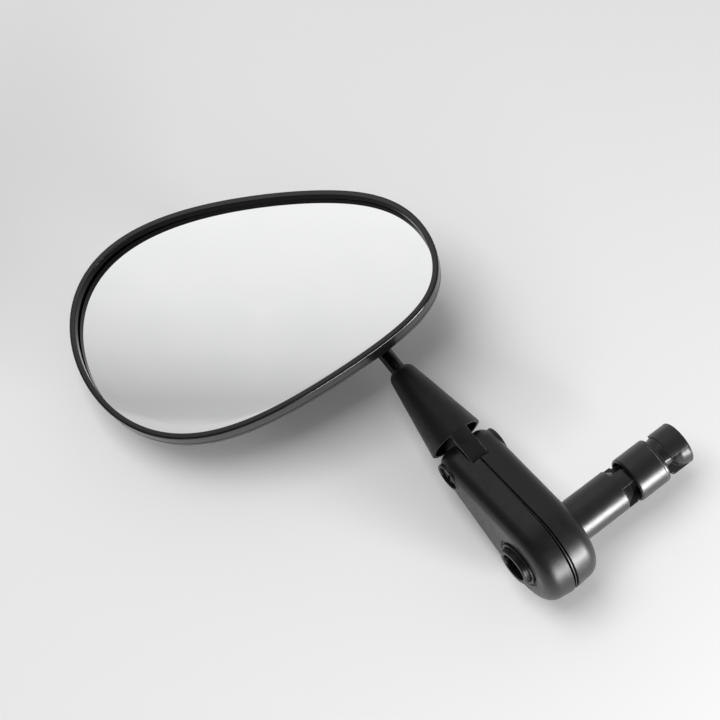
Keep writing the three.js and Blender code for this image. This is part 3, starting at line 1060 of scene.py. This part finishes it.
def socket_cup():
    """Upper half of the socket, with a foot and a support that stand on the housing's back."""
    radius = 6.9
    top = 7.4
    shoulder = 1.5
    seat = SPLIT_Z + GAP
    cup = turned(
        [
            (seat, 0),
            (seat, radius, 0.3),
            (top - shoulder, radius, 0.8),
            (top, radius - shoulder, 0.8),
            (top, 0),
        ]
    )
    foot_y = DOME_Y + GAP
    foot = block((-13.5, foot_y, -4.5), (13.5, foot_y + 3.2, 4.5))
    support = block((-5.5, foot_y, 0.8), (5.5, foot_y + 4.5, 5.5))
    below = rod(-30, seat, radius + 1)
    return cut(
        join(stem_aligned(cup), foot, support),
        stem_aligned(cavity()),
        stem_aligned(below),
        *screw_holes(1.65),
    )


def socket_cap():
    """Lower half of the socket, with a flared mouth that the stem swings in."""
    bottom = -6.2
    radius = 7.3
    chamfer = 0.6
    blank = turned(
        [
            (bottom, 0),
            (bottom, radius - chamfer, 0.3),
            (bottom + chamfer, radius, 0.3),
            (SPLIT_Z, radius, 0.3),
            (SPLIT_Z, 0),
        ]
    )
    mouth_radius = 6.4
    throat_radius = 4.2
    below = bottom - 1
    mouth = turned([(below, 0), (below, mouth_radius), (-3, throat_radius), (0, throat_radius), (0, 0)])
    return cut(stem_aligned(blank), stem_aligned(cavity()), stem_aligned(mouth))


def socket_screw(x):
    """Pan-headed screw from inside the housing into the socket's foot."""
    face = DOME_Y - WALL - 2.2
    head_back = face + 1.9
    head_radius = 2.7
    shank = 1.4
    end = -5
    body = turned(
        [
            (face, 0),
            (face, head_radius, 0.8),
            (head_back, head_radius, 0.2),
            (head_back, shank, 0.1),
            (end, shank, 0.4),
            (end, 0),
        ]
    )
    return upright(cut(body, *cross_slots(face, floor=face + 0.9, width=0.35, reach=1.5)), x)


head_piece("socket_ball_cup", socket_cup(), GLOSS_PLASTIC, "socket_cup", bevel=0.3)
head_piece("socket_ball_cap", socket_cap(), GLOSS_PLASTIC, "socket_cap", bevel=0.15)
for number, x in enumerate(SOCKET_SCREWS, start=1):
    head_piece(f"socket_screw_head_{number}", socket_screw(x), STEEL, f"socket_screw_{number}")


# Stage: a pale table just behind the object, seen from its own side only

TABLE_Y = 20.0
TABLE_REACH = 2500


def table_material():
    """Pale matt surface that can't be seen from behind."""
    material = bpy.data.materials.new("pale_table")
    material.use_nodes = True
    tree = material.node_tree
    add = node_adder(tree)
    shader = tree.nodes["Principled BSDF"]
    shader.inputs["Base Color"].default_value = (0.80, 0.80, 0.80, 1)
    shader.inputs["Roughness"].default_value = 0.9
    shader.inputs["Specular IOR Level"].default_value = 0.1
    clear = add("ShaderNodeBsdfTransparent").outputs[0]
    behind = add("ShaderNodeNewGeometry").outputs["Backfacing"]
    mix = add("ShaderNodeMixShader", {0: behind, 1: shader.outputs[0], 2: clear})
    tree.links.new(mix.outputs[0], tree.nodes["Material Output"].inputs["Surface"])
    return material


def table():
    corners = [(-1, -1), (1, -1), (1, 1), (-1, 1)]
    points = [Vector((TABLE_REACH * x, TABLE_Y, TABLE_REACH * z)) * MM for x, z in corners]
    mesh = bpy.data.meshes.new("table_surface")
    mesh.from_pydata(points, [], [(0, 1, 2, 3)])
    surface = bpy.data.objects.new("table_surface", mesh)
    bpy.context.scene.collection.objects.link(surface)
    mesh.materials.append(table_material())


table()


# Light

def softbox(name, direction, distance, width, height, power, mirrored):
    """Area light at a distance in metres along a direction, facing the middle of the object."""
    centre = (cad_low + cad_high) / 2
    light = bpy.data.lights.new(name, "AREA")
    light.shape = "RECTANGLE"
    light.size = width
    light.size_y = height
    light.energy = power
    lamp = bpy.data.objects.new(name, light)
    lamp.location = centre + Vector(direction).normalized() * distance
    lamp.rotation_mode = "QUATERNION"
    lamp.rotation_quaternion = (centre - lamp.location).to_track_quat("-Z", "Y")
    lamp.visible_glossy = mirrored
    bpy.context.scene.collection.objects.link(lamp)


softbox(
    "key_below", (0.36, -0.12, -0.96), distance=0.8, width=0.35, height=0.22, power=7.8, mirrored=True
)
softbox(
    "key_below_left", (-0.02, -0.12, -0.96), distance=0.8, width=0.3, height=0.22, power=4, mirrored=True
)
softbox(
    "fill_front", (-0.22, -0.93, 0.27), distance=1.2, width=0.7, height=0.7, power=8.8, mirrored=False
)


# Surroundings. Spans and places tell how far a direction points along an axis, from -1 to 1.

BACKDROP = 0.75
ROOM_AXIS = (0.75, 0.1, 0.65)
ROOM_SPAN = (-0.35, 0.85)
ROOM_LEVELS = (0.1, 0.52)
CARD_MIDDLE = (-0.07, -0.78, 0.61)
CARD_EDGE = (0.93, 0.985)
CARD_AXIS = (0.643, 0, 0.766)
CARD_LOW = 0.30
CARD_HIGH = 0.50
CARD_STOPS = [
    (0.319, 0.68),
    (0.327, 0.535),
    (0.34, 0.515),
    (0.3575, 0.6),
    (0.383, 0.71),
    (0.42, 0.81),
    (0.49, 0.9),
]
CARD_WARMTH = 0.995
SIDE_AXIS = (1, 0, 0)
SIDE_SPAN = (-0.3, -0.12)
SIDE_LEVELS = (0.805, 1.04)


def grade_card(stops):
    """Gives a colour ramp the card's grey levels."""
    while len(stops) < len(CARD_STOPS):
        stops.new(0.5)
    for stop, (place, level) in zip(stops, CARD_STOPS):
        stop.position = (place - CARD_LOW) / (CARD_HIGH - CARD_LOW)
        stop.color = (level, level, level * CARD_WARMTH, 1)


def world_light():
    """Surroundings that brighten to the right and above, with a graded card where the glass looks.

    The camera itself sees a plain backdrop in their place.
    """
    world = bpy.data.worlds.new("studio")
    bpy.context.scene.world = world
    world.use_nodes = True
    tree = world.node_tree
    add = node_adder(tree)
    direction = add("ShaderNodeTexCoord").outputs["Generated"]

    def along(axis):
        node = add("ShaderNodeVectorMath", {0: direction}, operation="DOT_PRODUCT")
        node.inputs[1].default_value = Vector(axis).normalized()
        return node.outputs["Value"]

    level = remap(add, along(ROOM_AXIS), ROOM_SPAN, ROOM_LEVELS, "SMOOTHSTEP")
    room = add("ShaderNodeCombineColor", {"Red": level, "Green": level, "Blue": level}).outputs[0]
    card = add("ShaderNodeValToRGB", {"Fac": remap(add, along(CARD_AXIS), (CARD_LOW, CARD_HIGH), (0, 1))})
    grade_card(card.color_ramp.elements)
    side = remap(add, along(SIDE_AXIS), SIDE_SPAN, SIDE_LEVELS)
    scaling = {"Vector": card.outputs["Color"], "Scale": side}
    graded = add("ShaderNodeVectorMath", scaling, operation="SCALE").outputs["Vector"]
    mask = remap(add, along(CARD_MIDDLE), CARD_EDGE, (0, 1), "SMOOTHSTEP")
    lit = add("ShaderNodeMix", {"Factor": mask, "A": room, "B": graded}, data_type="RGBA")
    camera_ray = add("ShaderNodeLightPath").outputs["Is Camera Ray"]
    seen = add("ShaderNodeMix", {"Factor": camera_ray, "A": lit.outputs["Result"]}, data_type="RGBA")
    seen.inputs["B"].default_value = (BACKDROP, BACKDROP, BACKDROP, 1)
    tree.links.new(seen.outputs["Result"], tree.nodes["Background"].inputs["Color"])


world_light()
bpy.context.scene.view_settings.view_transform = "Standard"


# Camera at the photograph's angle

def camera():
    azimuth = math.radians(-14.50)
    elevation = math.radians(-14.64)
    roll = math.radians(-39.59)
    distance = 0.8667
    target = Vector((-0.0215, -0.008, 0.0889))
    back = Vector(
        (
            math.sin(azimuth) * math.cos(elevation),
            -math.cos(azimuth) * math.cos(elevation),
            math.sin(elevation),
        )
    )
    data = bpy.data.cameras.new("camera")
    data.lens = 125
    data.sensor_width = 36
    data.clip_start = 0.01
    data.clip_end = 20
    viewer = bpy.data.objects.new("camera", data)
    viewer.location = target + back * distance
    viewer.rotation_mode = "QUATERNION"
    level = (-back).to_track_quat("-Z", "Y")
    viewer.rotation_quaternion = level @ Matrix.Rotation(roll, 3, "Z").to_quaternion()
    bpy.context.scene.collection.objects.link(viewer)
    bpy.context.scene.camera = viewer


camera()
